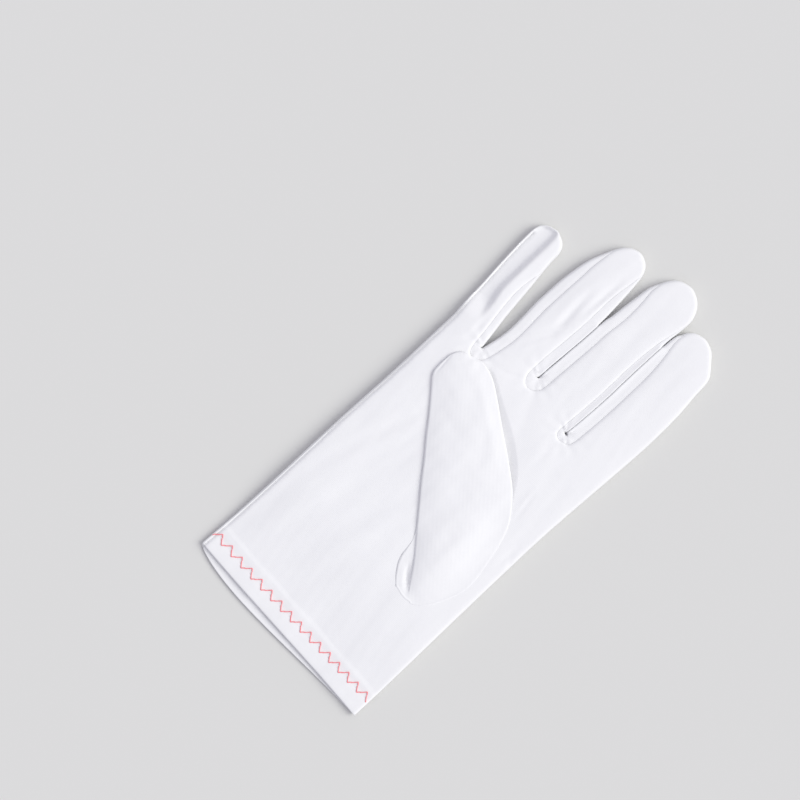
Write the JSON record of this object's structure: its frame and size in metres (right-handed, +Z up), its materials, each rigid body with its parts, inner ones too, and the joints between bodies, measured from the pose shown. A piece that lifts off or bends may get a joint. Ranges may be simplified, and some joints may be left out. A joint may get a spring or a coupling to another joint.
{
  "type": "white parade glove",
  "caption": "Right-hand dress glove of thin white cloth, lying palm up with its thumb folded over the palm, with red zigzag stitching round the hem.",
  "frame": {"origin": "a point of the resting face of the back of the hand, 100 mm up from the palm's wrist edge", "axes": "+X towards the forefinger's side, +Y towards the fingertips, +Z up out of the palm"},
  "size_m": [0.1191, 0.2497, 0.0158],
  "materials": {
    "white_cloth": "fine plain weave, matt"
  },
  "bodies": {
    "root": {"palm_and_back": "white_cloth", "thumb": "white_cloth", "fourchette_little_ring": "white_cloth", "fourchette_ring_middle": "white_cloth", "fourchette_middle_index": "white_cloth"}
  },
  "joints": []
}
